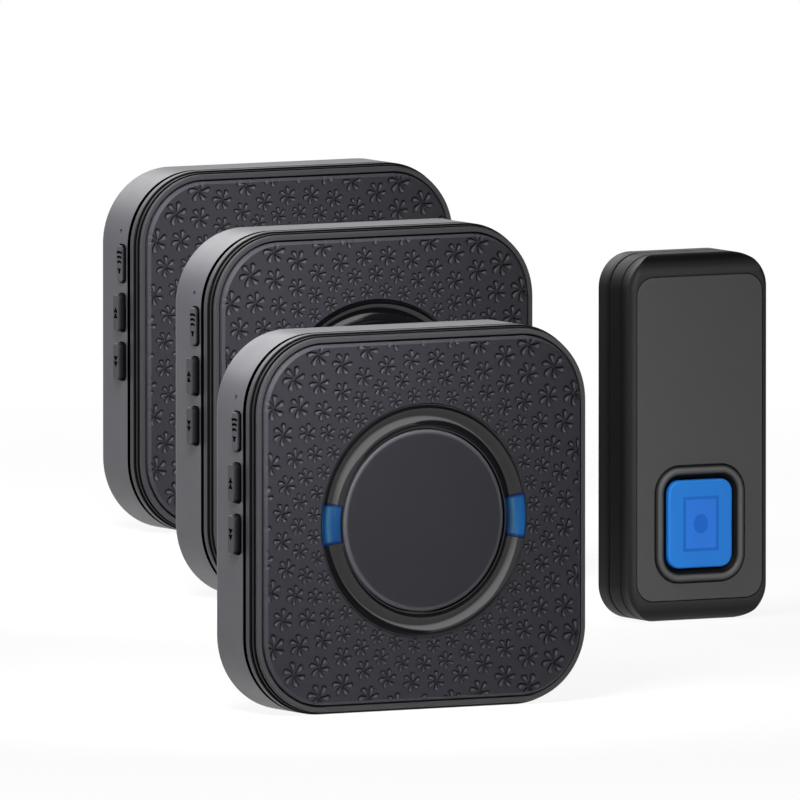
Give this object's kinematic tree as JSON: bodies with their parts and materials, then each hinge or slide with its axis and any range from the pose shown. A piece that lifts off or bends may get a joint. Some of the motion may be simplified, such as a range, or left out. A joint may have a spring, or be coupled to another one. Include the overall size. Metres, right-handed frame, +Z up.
{
  "type": "wireless doorbell set",
  "caption": "Wireless doorbell set: square standing chimes with a ring, light windows, patterned face and side keys, and a slim push-button transmitter on a wall plate.",
  "frame": {"origin": "centre of the set's footprint, on the table", "axes": "+Z up, faces towards -Y, +X to the right as seen from the front"},
  "size_m": [0.2878, 0.439, 0.088],
  "materials": {
    "chime_shell": "satin moulded",
    "chime_face": "satin moulded with a relief",
    "chime_disc": "fine matt",
    "gloss_ring": "polished",
    "blue_window": "translucent",
    "key_plastic": "satin",
    "board": "solder mask",
    "speaker_metal": "satin",
    "cell_sleeve": "sleeved cell, density of a filled cell",
    "plated_steel": "nickel plated",
    "screw_steel": "zinc plated",
    "transmitter_shell": "satin black",
    "grey_panel": "flat",
    "bezel_plastic": "satin black",
    "blue_button": "satin",
    "seal_rubber": "soft",
    "coin_metal": "plated cell, density of a filled cell"
  },
  "bodies": {
    "set": {"front_chime_rear_case": "chime_shell", "front_chime_front_cover": "chime_shell", "front_chime_face_plate": "chime_face", "front_chime_ring_trim": "gloss_ring", "front_chime_light_windows": "blue_window", "front_chime_centre_disc": "chime_disc", "front_chime_circuit_board": "board", "front_chime_speaker": "speaker_metal", "front_chime_batteries": "cell_sleeve", "front_chime_battery_contacts": "plated_steel", "front_chime_case_screws": "screw_steel", "middle_chime_rear_case": "chime_shell", "middle_chime_front_cover": "chime_shell", "middle_chime_face_plate": "chime_face", "middle_chime_ring_trim": "gloss_ring", "middle_chime_light_windows": "blue_window", "middle_chime_centre_disc": "chime_disc", "middle_chime_circuit_board": "board", "middle_chime_speaker": "speaker_metal", "middle_chime_batteries": "cell_sleeve", "middle_chime_battery_contacts": "plated_steel", "middle_chime_case_screws": "screw_steel", "back_chime_rear_case": "chime_shell", "back_chime_front_cover": "chime_shell", "back_chime_face_plate": "chime_face", "back_chime_ring_trim": "gloss_ring", "back_chime_light_windows": "blue_window", "back_chime_centre_disc": "chime_disc", "back_chime_circuit_board": "board", "back_chime_speaker": "speaker_metal", "back_chime_batteries": "cell_sleeve", "back_chime_battery_contacts": "plated_steel", "back_chime_case_screws": "screw_steel", "transmitter_front_shell": "transmitter_shell", "transmitter_face_panel": "grey_panel", "transmitter_button_bezel": "bezel_plastic", "transmitter_button_seal": "seal_rubber", "transmitter_case_gasket": "seal_rubber", "transmitter_rear_shell": "transmitter_shell", "transmitter_circuit_board": "board", "transmitter_coin_cell": "coin_metal", "transmitter_case_screws": "screw_steel"},
    "front_chime_volume_key": {"front_chime_volume_key": "key_plastic"},
    "front_chime_up_key": {"front_chime_up_key": "key_plastic"},
    "front_chime_down_key": {"front_chime_down_key": "key_plastic"},
    "front_chime_battery_door": {"front_chime_battery_door": "chime_shell"},
    "middle_chime_volume_key": {"middle_chime_volume_key": "key_plastic"},
    "middle_chime_up_key": {"middle_chime_up_key": "key_plastic"},
    "middle_chime_down_key": {"middle_chime_down_key": "key_plastic"},
    "middle_chime_battery_door": {"middle_chime_battery_door": "chime_shell"},
    "back_chime_volume_key": {"back_chime_volume_key": "key_plastic"},
    "back_chime_up_key": {"back_chime_up_key": "key_plastic"},
    "back_chime_down_key": {"back_chime_down_key": "key_plastic"},
    "back_chime_battery_door": {"back_chime_battery_door": "chime_shell"},
    "transmitter_push_button": {"transmitter_push_button": "blue_button"},
    "transmitter_wall_plate": {"transmitter_wall_plate": "transmitter_shell"}
  },
  "joints": [
    {"name": "front_chime_volume_key_press", "type": "slide", "parent": "set", "child": "front_chime_volume_key", "axis": [1, 0, 0], "range_m": [0, 0.0005], "stiffness_N_per_m": 1200},
    {"name": "front_chime_up_key_press", "type": "slide", "parent": "set", "child": "front_chime_up_key", "axis": [1, 0, 0], "range_m": [0, 0.0005], "stiffness_N_per_m": 1200},
    {"name": "front_chime_down_key_press", "type": "slide", "parent": "set", "child": "front_chime_down_key", "axis": [1, 0, 0], "range_m": [0, 0.0005], "stiffness_N_per_m": 1200},
    {"name": "front_chime_battery_door_hinge", "type": "hinge", "parent": "set", "child": "front_chime_battery_door", "pos_m": [-0.0981, -0.20025, 0.00525], "axis": [-1, 0, 0], "range_deg": [0, 40]},
    {"name": "middle_chime_volume_key_press", "type": "slide", "parent": "set", "child": "middle_chime_volume_key", "axis": [1, 0, 0], "range_m": [0, 0.0005], "stiffness_N_per_m": 1200},
    {"name": "middle_chime_up_key_press", "type": "slide", "parent": "set", "child": "middle_chime_up_key", "axis": [1, 0, 0], "range_m": [0, 0.0005], "stiffness_N_per_m": 1200},
    {"name": "middle_chime_down_key_press", "type": "slide", "parent": "set", "child": "middle_chime_down_key", "axis": [1, 0, 0], "range_m": [0, 0.0005], "stiffness_N_per_m": 1200},
    {"name": "middle_chime_battery_door_hinge", "type": "hinge", "parent": "set", "child": "middle_chime_battery_door", "pos_m": [0.0299, 0.05375, 0.00525], "axis": [-1, 0, 0], "range_deg": [0, 40]},
    {"name": "back_chime_volume_key_press", "type": "slide", "parent": "set", "child": "back_chime_volume_key", "axis": [1, 0, 0], "range_m": [0, 0.0005], "stiffness_N_per_m": 1200},
    {"name": "back_chime_up_key_press", "type": "slide", "parent": "set", "child": "back_chime_up_key", "axis": [1, 0, 0], "range_m": [0, 0.0005], "stiffness_N_per_m": 1200},
    {"name": "back_chime_down_key_press", "type": "slide", "parent": "set", "child": "back_chime_down_key", "axis": [1, 0, 0], "range_m": [0, 0.0005], "stiffness_N_per_m": 1200},
    {"name": "back_chime_battery_door_hinge", "type": "hinge", "parent": "set", "child": "back_chime_battery_door", "pos_m": [0.0999, 0.21875, 0.00525], "axis": [-1, 0, 0], "range_deg": [0, 40]},
    {"name": "transmitter_push_button_press", "type": "slide", "parent": "set", "child": "transmitter_push_button", "axis": [0, 1, 0], "range_m": [0, 0.0006], "stiffness_N_per_m": 1500},
    {"name": "transmitter_wall_plate_pull", "type": "slide", "parent": "set", "child": "transmitter_wall_plate", "axis": [0, 1, 0], "range_m": [0, 0.012]}
  ]
}
